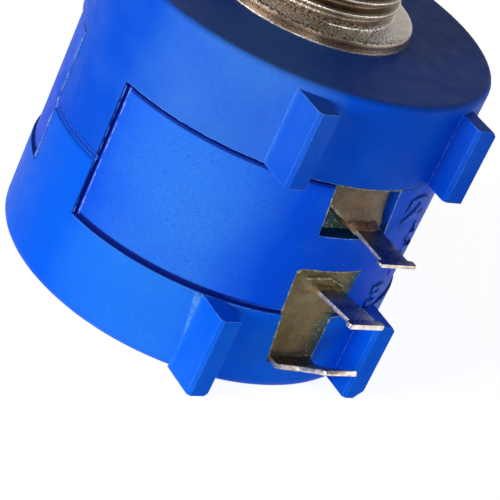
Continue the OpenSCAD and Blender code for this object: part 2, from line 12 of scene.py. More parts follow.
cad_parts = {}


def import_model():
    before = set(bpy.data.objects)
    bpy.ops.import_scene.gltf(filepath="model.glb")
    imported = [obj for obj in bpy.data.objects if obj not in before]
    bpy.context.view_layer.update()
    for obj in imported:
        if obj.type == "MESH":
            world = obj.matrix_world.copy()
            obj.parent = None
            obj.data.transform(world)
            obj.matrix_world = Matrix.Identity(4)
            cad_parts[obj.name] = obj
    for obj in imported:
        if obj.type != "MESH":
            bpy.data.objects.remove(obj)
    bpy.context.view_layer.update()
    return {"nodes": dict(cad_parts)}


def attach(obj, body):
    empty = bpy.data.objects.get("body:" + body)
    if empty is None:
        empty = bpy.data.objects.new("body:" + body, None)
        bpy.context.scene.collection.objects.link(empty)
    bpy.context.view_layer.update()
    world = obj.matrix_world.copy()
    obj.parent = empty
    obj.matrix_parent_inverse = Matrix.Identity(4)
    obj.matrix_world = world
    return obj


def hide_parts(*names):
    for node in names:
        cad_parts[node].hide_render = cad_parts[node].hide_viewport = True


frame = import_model()

MM = 0.001
HOUSING = "housing_body"

# Sizes that follow the CAD source, in millimetres
FRONT_Z = -0.78
REAR_Z = -19.23
FRONT_IN_Z = -2.28
FRONT_SKIRT_Z = -5.78
REAR_SKIRT_Z = -14.13
BODY_R = 11.1
PANEL_R = 10.95
PANEL_HALF_ANGLE = 76.3
THREAD_R = 4.7625
THREAD_LEN = 7.92
SEAM_Z = -10.53
ARM_HALF_W = 2.629
LUG_X = 0.5
LUG_T = 0.30
LUG_ROOT_Y = -11.0
FRONT_LUG_Z = -8.18
MIDDLE_LUG_Z = -12.28
REAR_LUG_Z = -16.98

# Sizes that only the looks have, in millimetres
CREST_R = THREAD_R - 0.02       # the thread's crests, a little worn
BORE_R = 3.19
NECK_R = 5.0
BED_R = 10.70                   # the bed of the seams
RECESS_TOP_Z = -11.19           # the top edge of the middle lug's opening
FRONT_TOP_Z = FRONT_SKIRT_Z - 0.02
FRONT_LOW_Z = -9.02
SLOT_LOW_Z = -17.19

# The lugs' side, the far side, and the two sides where the shells' arms meet, in degrees
LUG_SIDE, FAR_SIDE, LEFT_SIDE, RIGHT_SIDE = -90, 90, 180, 0

# painted shade for the seams, their hidden walls and the arms' edges
SEAM_SHADE_BLUE = (0.0, 0.018, 0.21)

# Camera, solved from the photograph's edges
CAMERA_SPOT = Vector((-71.115, -85.102, 39.734)) * MM
CAMERA_RIGHT = Vector((0.805079, -0.454859, 0.380724))
CAMERA_DOWN = Vector((0.050245, -0.587249, -0.807845))
CAMERA_FORWARD = Vector((0.591035, 0.669509, -0.449928))
CAMERA_LENS = 155.816


# ---------------------------------------------------------------- materials

class Graph:
    """A material's node tree, with short calls that add nodes and set or link their sockets."""

    def __init__(self, name):
        self.material = bpy.data.materials.new(name)
        self.material.use_nodes = True
        self.tree = self.material.node_tree
        self.tree.nodes.clear()
        self.output = self.add("ShaderNodeOutputMaterial")
        self.shader = self.add("ShaderNodeBsdfPrincipled")
        self.join(self.shader.outputs["BSDF"], self.output.inputs["Surface"])
        self.place = self.add("ShaderNodeTexCoord").outputs["Object"]

    def add(self, kind, **settings):
        made = self.tree.nodes.new(kind)
        for key, value in settings.items():
            setattr(made, key, value)
        return made

    def join(self, source, target):
        self.tree.links.new(source, target)

    def put(self, target, value):
        """Links a socket to value, or sets it."""
        if isinstance(value, bpy.types.NodeSocket):
            self.join(value, target)
        elif isinstance(value, (tuple, list)) and len(value) == 3 and target.type == "RGBA":
            target.default_value = (*value, 1.0)
        else:
            target.default_value = value

    def set(self, **values):
        """Sets or links the shader's own sockets; Base_Color stands for Base Color."""
        for key, value in values.items():
            self.put(self.shader.inputs[key.replace("_", " ")], value)

    def place_mm(self):
        """X, Y, Z and the distance from the shaft's axis, in millimetres."""
        split = self.add("ShaderNodeSeparateXYZ")
        self.join(self.place, split.inputs[0])
        x, y, z = (self.math("MULTIPLY", split.outputs[i], 1 / MM) for i in range(3))
        square = self.math("ADD", self.math("MULTIPLY", x, x), self.math("MULTIPLY", y, y))
        return x, y, z, self.math("SQRT", square)

    def painted(self, name):
        """A value that the mesh's points carry."""
        return self.add("ShaderNodeAttribute", attribute_name=name).outputs["Fac"]

    def stretched(self, factors):
        """The place, scaled along X, Y and Z."""
        mapping = self.add("ShaderNodeMapping")
        self.join(self.place, mapping.inputs["Vector"])
        mapping.inputs["Scale"].default_value = factors
        return mapping.outputs["Vector"]

    def noise(self, size_mm, detail=3.0, roughness=0.55, place=None):
        made = self.add("ShaderNodeTexNoise")
        self.join(place or self.place, made.inputs["Vector"])
        made.inputs["Scale"].default_value = 1 / (size_mm * MM)
        made.inputs["Detail"].default_value = detail
        made.inputs["Roughness"].default_value = roughness
        return made.outputs["Fac"]

    def cells(self, size_mm):
        """Distance to the nearest of points that are strewn at random."""
        made = self.add("ShaderNodeTexVoronoi", feature="F1")
        self.join(self.place, made.inputs["Vector"])
        made.inputs["Scale"].default_value = 1 / (size_mm * MM)
        return made.outputs["Distance"]

    def math(self, operation, a, b=0.5, clamp=False):
        made = self.add("ShaderNodeMath", operation=operation, use_clamp=clamp)
        self.put(made.inputs[0], a)
        self.put(made.inputs[1], b)
        return made.outputs[0]

    def spread(self, value, low, high, out_low=0.0, out_high=1.0):
        """Maps low..high to out_low..out_high, clamped."""
        made = self.add("ShaderNodeMapRange")
        self.put(made.inputs["Value"], value)
        for key, number in (("From Min", low), ("From Max", high),
                            ("To Min", out_low), ("To Max", out_high)):
            self.put(made.inputs[key], number)
        return made.outputs["Result"]

    def mix(self, share, a, b):
        made = self.add("ShaderNodeMix", data_type="RGBA")
        self.put(made.inputs[0], share)
        self.put(made.inputs[6], a)
        self.put(made.inputs[7], b)
        return made.outputs[2]

    def bump(self, height, distance_mm, strength=1.0, normal=None):
        made = self.add("ShaderNodeBump")
        made.inputs["Strength"].default_value = strength
        made.inputs["Distance"].default_value = distance_mm * MM
        self.join(height, made.inputs["Height"])
        if normal is not None:
            self.join(normal, made.inputs["Normal"])
        return made.outputs["Normal"]

    def round_edges(self, radius_mm):
        """A normal that rounds the edges off."""
        made = self.add("ShaderNodeBevel", samples=6)
        made.inputs["Radius"].default_value = radius_mm * MM
        return made.outputs["Normal"]

    def edges(self, rounded):
        """1 on edges and 0 on faces, from how far the rounded normal leans."""
        true_normal = self.add("ShaderNodeNewGeometry").outputs["True Normal"]
        lean = self.add("ShaderNodeVectorMath", operation="DOT_PRODUCT")
        self.join(rounded, lean.inputs[0])
        self.join(true_normal, lean.inputs[1])
        return self.spread(lean.outputs["Value"], 0.972, 0.89)


def seam_shade(g, x, y, z, r, clean_r):
    """Where painted shade goes: 1 in the seams and on the hidden walls, below clean_r and away from
    the rounded ends; 0 in the two openings, which face -Y."""
    deep = g.spread(r, clean_r, clean_r - 0.07)
    inside = g.math("MULTIPLY", g.spread(z, REAR_Z + 0.9, REAR_Z + 1.1),
                    g.spread(z, FRONT_Z - 0.45, FRONT_Z - 0.65))
    half_w = 3.0
    openings = g.math("MULTIPLY", g.spread(g.math("ABSOLUTE", x), half_w + 0.1, half_w),
                      g.spread(y, 0.0, -0.1))
    return g.math("SUBTRACT", g.math("MULTIPLY", deep, inside), openings, True)


def arm_shade(g, y, z):
    """Painted shade: 1 along the edges of the arms, and less in the soft band where they meet."""
    span = g.math("MULTIPLY", g.spread(z, REAR_SKIRT_Z, REAR_SKIRT_Z + 0.05),
                  g.spread(z, FRONT_SKIRT_Z, FRONT_SKIRT_Z - 0.05))
    edge = g.spread(g.math("ABSOLUTE", y), ARM_HALF_W - 0.16, ARM_HALF_W - 0.08)
    band = g.spread(g.math("ABSOLUTE", g.math("SUBTRACT", z, SEAM_Z)), 0.42, 0.22, 0.0, 0.30)
    return g.math("MULTIPLY", span, g.math("MAXIMUM", edge, band))


def panel_shades(g, tint, place):
    """The middle part's own shades: a dark film in the low corner of the front opening, and painted
    shade along its edges at the seams on the left."""
    x, y, z, r = place
    film = g.math("MULTIPLY", g.spread(r, 10.90, 10.80), g.spread(z, -8.3, -8.8))
    film = g.math("MULTIPLY", film, g.spread(z, -9.3, -9.2))
    film = g.math("MULTIPLY", film, g.spread(y, 0.0, -0.1, 0.0, 0.85))
    tint = g.mix(film, tint, (0.0, 0.050, 0.090))
    # painted shade along the panel's low and high edges, next to the seams on the left
    low_edge_shade = g.math("MULTIPLY", g.spread(z, REAR_SKIRT_Z + 0.40, REAR_SKIRT_Z + 0.31),
                      g.spread(x, -1.5, -5.0, 0.0, 0.95))
    tint = g.mix(low_edge_shade, tint, (0.0, 0.004, 0.15))
    high_edge_shade = g.math("MULTIPLY", g.spread(z, FRONT_SKIRT_Z - 0.40, FRONT_SKIRT_Z - 0.32),
                       g.spread(x, -1.3, -2.2, 0.0, 0.90))
    return g.mix(high_edge_shade, tint, (0.0, 0.016, 0.28))


def moulded_blue(name, deep, lit, panel=False, clean_r=None, arms=False, highlight=0.90):
    """Satin moulded plastic with a fine grain and dust, and painted light: a painted sheen on the
    side towards the lamps, painted shade on the end face, painted highlights on the edges
    (highlight is their share), with clean_r painted shade in the seams, and with arms painted shade
    along the arms' edges and where they meet. The panels also have pits."""
    g = Graph(name)
    x, y, z, r = place = g.place_mm()
    sheen_x, sheen_y = -0.743, -0.669       # unit vector towards the lit side, where the sheen is painted
    # painted sheen: a lighter, hazier colour on the lit side and less on the ribs, plus random tone
    painted_sheen = g.math("ADD", g.math("MULTIPLY", x, sheen_x), g.math("MULTIPLY", y, sheen_y))
    painted_sheen = g.spread(g.math("DIVIDE", painted_sheen, r), 0.86, 1.0, 0.0, 0.85)
    painted_sheen = g.math("MULTIPLY", painted_sheen, g.spread(r, 11.15, 11.4, 1.0, 0.25))
    sheen_and_tone = g.math("ADD", painted_sheen, g.spread(g.noise(4.5, 3.0), 0.35, 0.65, -0.12, 0.22), True)
    grain = g.noise(0.13, 2.0)
    rounded = g.round_edges(0.09)
    tint = g.mix(sheen_and_tone, deep, lit)
    tint = g.mix(g.spread(grain, 0.40, 0.70, 0.0, 0.16), tint, [0.55 * v for v in deep])
    # painted highlight: a lighter colour along the edges, broken up by noise, with none in the
    # arms' band
    edge_highlight = g.math("MULTIPLY", g.edges(rounded), g.spread(g.noise(0.4, 3.0, 0.7), 0.34, 0.54))
    if arms:
        arm = arm_shade(g, y, z)
        edge_highlight = g.math("SUBTRACT", edge_highlight, g.math("MULTIPLY", arm, 4.0), True)
    tint = g.mix(g.math("MULTIPLY", edge_highlight, highlight), tint, (0.14, 0.44, 1.0))
    dust = g.spread(g.cells(1.1), 0.035, 0.02)
    tint = g.mix(g.math("MULTIPLY", dust, 0.5), tint, (0.20, 0.42, 0.95))
    height = g.math("MULTIPLY", grain, 0.5)
    if panel:
        pit = g.math("MULTIPLY", g.spread(g.noise(0.11, 1.0), 0.50, 0.72),
                     g.spread(g.noise(2.2, 2.0), 0.36, 0.60, 0.10))
        tint = g.mix(g.math("MULTIPLY", pit, 0.42), tint, (0.0, 0.060, 0.60))
        height = g.math("SUBTRACT", height, pit)
    # painted shade: the front end face is darker and greyer
    end_face_shade = g.spread(z, FRONT_Z - 0.10, FRONT_Z - 0.02, 0.0, 0.45)
    tint = g.mix(end_face_shade, tint, (0.040, 0.085, 0.21))
    if panel:
        tint = panel_shades(g, tint, place)
    if clean_r:
        # painted shade in the seams and on their hidden walls
        tint = g.mix(seam_shade(g, x, y, z, r, clean_r), tint, SEAM_SHADE_BLUE)
    if arms:
        # painted shade along the arms' edges and in the band where they meet
        tint = g.mix(arm, tint, SEAM_SHADE_BLUE)
    g.set(Base_Color=tint, Roughness=g.spread(g.noise(0.9), 0.3, 0.7, 0.40, 0.55),
          Normal=g.bump(height, 0.018, 0.7, rounded))
    g.shader.inputs["IOR"].default_value = 1.38
    g.shader.inputs["Specular IOR Level"].default_value = 0.10
    return g.material


def warm_nickel(name):
    """Worn nickel plate over brass: pale crests and flange, brown hollows, a flange side in painted
    reflection, dark brown towards -X and pale towards +X, with a painted highlight on its lip, and
    a coarse grain with painted glints where the thread meets the flange."""
    g = Graph(name)
    x, _, z, r = g.place_mm()
    cloud = g.spread(g.noise(1.3, 4.0), 0.3, 0.7)
    pale = g.mix(cloud, (0.62, 0.54, 0.44), (0.86, 0.79, 0.69))
    brown = g.mix(cloud, (0.20, 0.135, 0.085), (0.36, 0.27, 0.19))
    crest = g.math("MAXIMUM", g.spread(r, 4.58, 4.73),
                   g.math("MULTIPLY", g.spread(r, 4.80, 4.90), g.spread(z, -0.03, 0.0)))
    side = g.math("MULTIPLY", g.spread(r, 5.80, 5.93), g.spread(z, 0.0, -0.06))
    tint = g.mix(g.math("SUBTRACT", crest, side, True), brown, pale)
    # painted reflection: the flange side runs from this dark brown towards -X to pale towards +X
    shaded_side_brown = g.mix(g.spread(g.noise(0.9, 3.0, 0.6), 0.35, 0.65), (0.085, 0.058, 0.040),
                 (0.155, 0.105, 0.070))
    tint = g.mix(side, tint, g.mix(g.spread(x, -0.5, 3.2), shaded_side_brown, (0.46, 0.39, 0.31)))
    # painted highlight: a thin pale line on the flange's lip
    lip_highlight = g.math("MULTIPLY", g.spread(r, 5.9, 5.93), g.spread(z, FRONT_Z + 0.15, FRONT_Z + 0.09))
    tint = g.mix(lip_highlight, tint, (0.60, 0.56, 0.52))
    fine = g.noise(0.09, 3.0, 0.75)
    smooth_top = g.spread(r, 4.9, 5.9, 0.0, 0.35)
    grime = g.math("SUBTRACT", g.spread(fine, 0.50, 0.68, 0.0, 0.60), smooth_top, True)
    grime = g.math("SUBTRACT", grime, g.math("MULTIPLY", side, 0.35), True)
    tint = g.mix(grime, tint, (0.10, 0.055, 0.028))
    root = g.math("MULTIPLY", g.spread(r, 4.40, 4.33), g.spread(z, 0.0, 0.1))
    tint = g.mix(g.math("MULTIPLY", root, 0.30), tint, (0.07, 0.042, 0.026))
    near = g.math("MULTIPLY", g.spread(z, -0.16, -0.04), g.spread(z, 0.42, 0.12))
    near = g.math("MULTIPLY", near, g.spread(x, 3.8, 1.2))
    # a coarse grain with painted glints: near-white grains where the thread meets the flange
    grain_and_glints = g.mix(g.spread(g.noise(0.13, 1.0, 0.8), 0.43, 0.50), (0.16, 0.11, 0.075),
                 (1.0, 0.97, 0.92))
    tint = g.mix(g.math("MULTIPLY", near, 0.92), tint, grain_and_glints)
    coarse = g.math("MULTIPLY", g.math("ADD", g.math("MULTIPLY", near, 0.45), 0.35), fine)
    g.set(Base_Color=tint, Metallic=1.0, Roughness=g.spread(fine, 0.3, 0.7, 0.20, 0.38),
          Normal=g.bump(coarse, 0.05, 0.9))
    return g.material


def turned_steel(name):
    """Turned and polished steel, with fine rings round the shaft."""
    g = Graph(name)
    tint = (0.58, 0.57, 0.56)
    rings = g.noise(0.05, 3.0, 0.6, g.stretched((0.02, 0.02, 1.0)))
    cloud = g.spread(g.noise(1.8), 0.3, 0.7)
    g.set(Base_Color=g.mix(cloud, [0.86 * v for v in tint], tint), Metallic=1.0,
          Roughness=g.spread(rings, 0.3, 0.7, 0.18, 0.34),
          Normal=g.bump(rings, 0.006, 0.5, g.round_edges(0.05)))
    return g.material


def sheet_metal(name, tint, dark):
    """Rolled or tinned sheet with stains and fine scratches."""
    g = Graph(name)
    stain = g.spread(g.noise(0.5, 4.0, 0.65), 0.38, 0.62)
    fine = g.noise(0.06, 3.0, 0.7)
    g.set(Base_Color=g.mix(stain, dark, tint), Metallic=1.0,
          Roughness=g.spread(g.noise(0.3), 0.3, 0.7, 0.25, 0.55),
          Normal=g.bump(fine, 0.012, 0.6))
    return g.material


def lug_metal(name, tint, dark, roughness, creep=1.0):
    """Tinned sheet with a lumpy coat and bright specks. Where "resin" is painted, a share of brown
    resin, creep, covers it."""
    g = Graph(name)
    stain = g.spread(g.noise(0.55, 4.0, 0.65), 0.38, 0.62)
    lumps = g.noise(0.16, 3.0, 0.6)
    metal = g.mix(stain, dark, tint)
    metal = g.mix(g.spread(g.cells(0.34), 0.13, 0.08), metal, (0.80, 0.78, 0.74))
    resin = g.math("MULTIPLY", g.painted("resin"),
                   g.spread(g.noise(0.35, 3.0), 0.30, 0.46, 0.0, creep))
    brown = g.mix(g.spread(lumps, 0.35, 0.65), (0.022, 0.015, 0.008), (0.12, 0.085, 0.05))
    g.set(Base_Color=g.mix(resin, metal, brown), Metallic=g.spread(resin, 0.0, 1.0, 1.0, 0.15),
          Roughness=g.spread(lumps, 0.3, 0.7, *roughness), Normal=g.bump(lumps, 0.035, 0.8))
    return g.material


def potting_epoxy(name, dark, light, patch):
    """Potting compound: cloudy and uneven, with patches and dark grit. Where "edge" is painted it
    is thin, olive to dark teal with pale specks, and where "burnt" is painted dark brown."""
    g = Graph(name)
    tint = g.mix(g.spread(g.noise(1.0, 4.0, 0.6), 0.36, 0.64), dark, light)
    warm = g.spread(g.noise(0.7, 3.0, 0.5), 0.50, 0.64)
    tint = g.mix(g.math("MULTIPLY", warm, 0.7), tint, patch)
    fine = g.noise(0.13, 4.0, 0.7)
    tint = g.mix(g.spread(fine, 0.56, 0.72, 0.0, 0.50), tint, [0.3 * v for v in dark])
    edge = g.math("ADD", g.painted("edge"), g.spread(fine, 0.3, 0.7, -0.25, 0.25))
    tint = g.mix(g.spread(edge, 0.05, 0.45, 0.0, 0.60), tint, (0.055, 0.060, 0.028))
    tint = g.mix(g.spread(edge, 0.45, 0.80, 0.0, 0.85), tint, (0.012, 0.070, 0.095))
    burnt = g.math("ADD", g.painted("burnt"), g.spread(g.noise(0.5, 4.0), 0.3, 0.7, -0.3, 0.3))
    tint = g.mix(g.spread(burnt, 0.25, 0.85, 0.0, 0.92), tint, (0.026, 0.016, 0.008))
    speck = g.math("MULTIPLY", g.spread(g.cells(0.17), 0.24, 0.16), g.spread(edge, 0.2, 0.5))
    tint = g.mix(speck, tint, (0.56, 0.58, 0.42))
    g.set(Base_Color=tint, Roughness=g.spread(fine, 0.3, 0.7, 0.28, 0.60),
          Normal=g.bump(fine, 0.06, 0.8))
    return g.material


def burr_plastic(name, tint, pale):
    """The ragged, shiny rim of a moulding or of set resin."""
    g = Graph(name)
    fine = g.noise(0.09, 3.0, 0.7)
    g.set(Base_Color=g.mix(g.spread(fine, 0.38, 0.60), tint, pale),
          Roughness=g.spread(fine, 0.3, 0.7, 0.15, 0.40), Normal=g.bump(fine, 0.05, 0.8))
    return g.material


def nylon(name):
    """Ivory moulded plastic."""
    g = Graph(name)
    cloud = g.spread(g.noise(2.0), 0.3, 0.7)
    g.set(Base_Color=g.mix(cloud, (0.80, 0.77, 0.68), (0.90, 0.88, 0.81)), Roughness=0.48,
          Normal=g.bump(g.noise(0.12), 0.01, 0.4, g.round_edges(0.05)))
    return g.material


def wound_wire(name):
    """Close-wound fine resistance wire: thin ridges across the helix."""
    g = Graph(name)
    ridge_mm = 0.12
    wave = g.add("ShaderNodeTexWave", wave_type="RINGS", rings_direction="Z")
    g.join(g.place, wave.inputs["Vector"])
    wave.inputs["Scale"].default_value = 1 / (ridge_mm * MM)
    tint = g.mix(g.spread(g.noise(0.4), 0.3, 0.7), (0.34, 0.24, 0.15), (0.52, 0.39, 0.26))
    g.set(Base_Color=tint, Metallic=1.0, Roughness=0.38,
          Normal=g.bump(wave.outputs["Fac"], 0.03, 0.7))
    return g.material


# ---------------------------------------------------------------- pieces

def piece(name, verts, faces, material, body, nodes=(), smooth=True):
    """A new mesh piece from points in millimetres, on its body, which stands for its CAD nodes."""
    mesh = bpy.data.meshes.new(name)
    mesh.from_pydata([Vector(v) * MM for v in verts], [], faces)
    mesh.validate()
    work = bmesh.new()
    work.from_mesh(mesh)
    bmesh.ops.recalc_face_normals(work, faces=work.faces)
    work.to_mesh(mesh)
    work.free()
    if smooth:
        mesh.shade_smooth()
    else:
        mesh.shade_flat()
    obj = bpy.data.objects.new(name, mesh)
    bpy.context.scene.collection.objects.link(obj)
    for one in material if isinstance(material, (list, tuple)) else [material]:
        mesh.materials.append(one)
    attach(obj, body)
    if nodes:
        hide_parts(*nodes)
    return obj


def paint_points(obj, name, values):
    """Gives each of a piece's points a value, which its material reads by name."""
    layer = obj.data.attributes.new(name, "FLOAT", "POINT")
    layer.data.foreach_set("value", values)


def grid_faces(rows, columns, wrap_columns=False, wrap_rows=False):
    """Quads over points that are stored row by row."""
    faces = []
    for i in range(rows if wrap_rows else rows - 1):
        for j in range(columns if wrap_columns else columns - 1):
            k, m = (i + 1) % rows, (j + 1) % columns
            faces.append((i * columns + j, i * columns + m, k * columns + m, k * columns + j))
    return faces


def tube_faces(rings, around):
    """Quads round a tube of closed rings, and its two end faces."""
    faces = grid_faces(rings, around, wrap_columns=True)
    faces.append(tuple(reversed(range(around))))
    faces.append(tuple((rings - 1) * around + k for k in range(around)))
    return faces


def thread_radius(angle, z):
    """The bushing's right-hand 3/8-32 thread, which runs down to the flange."""
    pitch, depth, phase_at_zero = 0.79375, 0.44, -0.285
    phase = (z / pitch - angle / (2 * math.pi) + phase_at_zero) % 1.0
    flank = abs(phase - 0.5) * 2
    ridge = min(max((flank - 0.22) / 0.62, 0.0), 1.0)
    ridge = 0.6 * ridge + 0.4 * ridge * ridge * (3 - 2 * ridge)
    return CREST_R - depth * (1 - ridge)


def bushing():
    """Turned bushing: helical thread, a rounded flange, a bore and chamfered ends."""
    segments, steps = 144, 230
    start, chamfer = 0.02, 0.5
    profile = [(BORE_R, FRONT_IN_Z), (NECK_R, FRONT_IN_Z), (NECK_R, FRONT_Z), (5.90, FRONT_Z),
               (5.98, FRONT_Z + 0.02), (6.0, FRONT_Z + 0.07), (5.97, FRONT_Z + 0.14),
               (5.965, -0.30), (5.955, -0.20), (5.93, -0.13), (5.89, -0.075), (5.83, -0.035),
               (5.76, -0.012), (5.66, 0.0), (5.3, 0.0), (4.80, 0.0)]
    rows = [[(r, z)] * segments for r, z in profile]
    for i in range(steps + 1):
        z = start + (THREAD_LEN - start) * i / steps
        row = []
        for j in range(segments):
            angle = 2 * math.pi * j / segments
            limit = CREST_R - max(0.0, z - (THREAD_LEN - chamfer))
            row.append((min(thread_radius(angle, z), limit), z))
        rows.append(row)
    rows += [[(r, z)] * segments for r, z in
             [(4.20, THREAD_LEN), (3.45, THREAD_LEN), (3.20, THREAD_LEN - 0.22),
              (BORE_R, THREAD_LEN - 0.3), (BORE_R, 4.0), (BORE_R, 0.0)]]
    verts = [(r * math.cos(2 * math.pi * j / segments), r * math.sin(2 * math.pi * j / segments), z)
             for row in rows for j, (r, z) in enumerate(row)]
    faces = grid_faces(len(rows), segments, wrap_columns=True, wrap_rows=True)
    obj = piece("threaded_bushing", verts, faces, warm_nickel("warm_nickel"), HOUSING,
                ["bushing"])
    sharpen(obj, 50)


def sharpen(obj, degrees):
    """Keeps edges sharper than this crisp in a smooth piece."""
    work = bmesh.new()
    work.from_mesh(obj.data)
    for edge in work.edges:
        if len(edge.link_faces) == 2 and edge.calc_face_angle(0.0) > math.radians(degrees):
            edge.smooth = False
    work.to_mesh(obj.data)
    work.free()


def lug(name, node, root, tip, z, inner_y, bend, rise, thick, materials, seed, creep=0.8):
    """A stamped lug: a rounded strip swept from inside the body, through its bend, to its tip.
    root is the root's X and width, tip the tip's X, the neck's width and the tip's width, and
    thick the thickness at both ends; creep is how much further resin runs along the left edge.
    The upper face stays where the CAD lug has it."""
    root_x, root_w = root
    tip_x, neck_w, tip_w = tip
    length, tip_len, taper, corner = 3.9, 0.5, 1.6, 0.05
    bend_y = LUG_ROOT_Y - rise
    neck = length - tip_len
    lean = math.radians(bend)
    stations = [(bend_y - y, root_w) for y in (inner_y, bend_y + 0.35, bend_y + 0.23,
                                               bend_y + 0.12)]
    stations += [(0.2 * i, None) for i in range(16)]
    stations += [(neck - 0.15, neck_w), (neck - 0.02, neck_w), (neck + 0.05, tip_w - 0.06),
                 (neck + 0.12, tip_w), (length - 0.16, tip_w), (length - 0.05, tip_w - 0.03),
                 (length, tip_w - 0.12)]
    section = []
    for sx, sz, a0 in ((1, 1, 0), (-1, 1, 90), (-1, -1, 180), (1, -1, 270)):
        for k in range(4):
            a = math.radians(a0 + 30 * k)
            section.append((sx, sz, corner * math.cos(a), corner * math.sin(a)))
    verts, resin = [], []
    for i, (s, w) in enumerate(stations):
        out = max(0.0, s)
        w = w or root_w + (neck_w - root_w) * min(1.0, out / taper)
        turn = lean * min(1.0, 0.5 + s) if s >= 0 else 0.0
        t = thick[0] + (thick[1] - thick[0]) * out / length
        x = root_x + (tip_x - root_x) * out / length
        y = bend_y - s if s < 0 else bend_y - s * math.cos(lean)
        for j, (sx, sz, dx, dz) in enumerate(section):
            rough = noise.noise(Vector((i * 0.9 + seed, j * 0.7, seed * 2.1)))
            across = sx * (w / 2 - corner) + dx + 0.025 * rough
            lift = sz * (t / 2 - corner) + dz + (LUG_T - t) / 2 + 0.012 * rough
            verts.append((x + across, y + math.sin(turn) * lift,
                          z + out * math.sin(lean) + math.cos(turn) * lift))
            resin.append(min(max((0.75 - creep * sx + 0.5 * rough - s) / 0.45, 0.0), 1.0))
    obj = piece(name, verts, tube_faces(len(stations), len(section)), materials, HOUSING,
                [node])
    paint_points(obj, "resin", resin)
    for polygon in obj.data.polygons:
        if abs(polygon.normal.x) > 0.7 or len(polygon.vertices) > 4:
            polygon.material_index = 1
    obj.data.update()
    sharpen(obj, 60)


def rear_lug_leg(material):
    """The rear lug's leg inside the body."""
    leg_y, x0, x1 = -8.3, -1.15, 1.55
    low, top = -18.02, REAR_LUG_Z + LUG_T / 2
    verts = [(x, y, z) for z in (low, top) for y in (leg_y - LUG_T, leg_y) for x in (x0, x1)]
    faces = [(0, 1, 3, 2), (4, 6, 7, 5), (0, 4, 5, 1), (2, 3, 7, 6), (0, 2, 6, 4), (1, 5, 7, 3)]
    piece("rear_lug_leg", verts, faces, material, HOUSING, smooth=False)


# ---------------------------------------------------------------- potting compound

def between(table, z):
    """Value at z of a line through (z, value) points, which run from high z to low z."""
    for (z0, v0), (z1, v1) in zip(table, table[1:]):
        if z0 >= z >= z1:
            return v0 + (v1 - v0) * (z0 - z) / (z0 - z1)
    return table[-1][1] if z < table[-1][0] else table[0][1]


def lug_creep(x, z, lug_x, lug_z, half_w):
    """How far the compound climbs a lug's root, from the distance to the lug."""
    across = max(0.0, abs(x - lug_x) - half_w)
    up = max(0.0, abs(z - lug_z) - LUG_T / 2)
    return math.exp(-math.hypot(across, up) / 0.22)


def compound(name, node, left, right, depth_at, material, right_edge):
    """A cast surface between two edges (tables of x over z), with a flat hidden back. right_edge
    is the width of the thin fringe on the right."""
    columns, rows = 64, 84
    back_y, highest_r, left_edge, burnt_z = -9.5, 11.05, 0.27, -16.95
    top, low = left[0][0], left[-1][0]
    front, back, edge, burnt = [], [], [], []
    for i in range(rows):
        z = top + (low - top) * i / (rows - 1)
        x0, x1 = between(left, z), between(right, z)
        for j in range(columns):
            x = x0 + (x1 - x0) * j / (columns - 1)
            rough = noise.noise(Vector((x * 1.7, z * 1.7, 3.1))) * 0.07
            rough += noise.noise(Vector((x * 5.5, z * 5.5, 8.3))) * 0.025
            rough += noise.noise(Vector((x * 14, z * 14, 5.7))) * 0.010
            depth = depth_at(x, z, x - x0, x1 - x, top - z)
            r = min(PANEL_R - depth + rough, highest_r)
            front.append((x, -math.sqrt(max(r * r - x * x, 1.0)), z))
            back.append((x, back_y, z))
            edge.append(max(math.exp(-min(x - x0, top - z, z - low) / left_edge),
                            math.exp(-(x1 - x) / right_edge), min(1.0, (depth - 0.55) / 0.35)))
            burnt.append(max(math.exp(-max(0.0, z - burnt_z) / 0.50),
                             0.8 * lug_creep(x, z, 0.60, FRONT_LUG_Z + 0.1, 0.8)))
    count = rows * columns
    faces = grid_faces(rows, columns)
    faces += [tuple(v + count for v in reversed(f)) for f in grid_faces(rows, columns)]
    rim = list(range(columns)) + [i * columns + columns - 1 for i in range(1, rows)]
    rim += [(rows - 1) * columns + j for j in range(columns - 2, -1, -1)]
    rim += [i * columns for i in range(rows - 2, 0, -1)]
    for a, b in zip(rim, rim[1:] + rim[:1]):
        faces.append((a, a + count, b + count, b))
    obj = piece(name, front + back, faces, material, HOUSING, [node])
    paint_points(obj, "edge", edge + [0.0] * count)
    paint_points(obj, "burnt", burnt + [0.0] * count)


def resin_collar(name, x, z, half_w, reach, material, seed):
    """Resin that has crept out along a lug's root: thick at the body, ragged where it ends. reach
    is how far it runs on the left and on the right."""
    around, steps, inner = 40, 22, 0.9
    verts = []
    for i in range(steps + 1):
        s = -inner + (inner + max(reach)) * i / steps
        for k in range(around):
            a = 2 * math.pi * k / around
            cx, cz = math.cos(a), math.sin(a)
            limit = reach[0] if cx < 0 else reach[1]
            limit = limit + (sum(reach) / 2 - limit) * (1 - abs(cx))
            rough = noise.noise(Vector((cx * 1.5 + seed, cz * 1.5, s * 1.3)))
            rough += 0.6 * noise.noise(Vector((cx * 5 + seed, cz * 5, s * 5)))
            left = (limit * (1 + 0.5 * rough) - s) / (limit + inner)
            thick = 0.17 * math.sqrt(max(left, 0.0)) - (0.0 if left > 0 else 0.06)
            thick += 0.03 * rough if left > 0 else 0.0
            flat = max(abs(cx) / (half_w + thick), abs(cz) / (LUG_T / 2 + thick))
            verts.append((x + cx / flat, LUG_ROOT_Y - s, z + cz / flat))
    obj = piece(name, verts, tube_faces(steps + 1, around), material, HOUSING)
    paint_points(obj, "edge", [0.0] * len(verts))
    paint_points(obj, "burnt", [0.15] * len(verts))


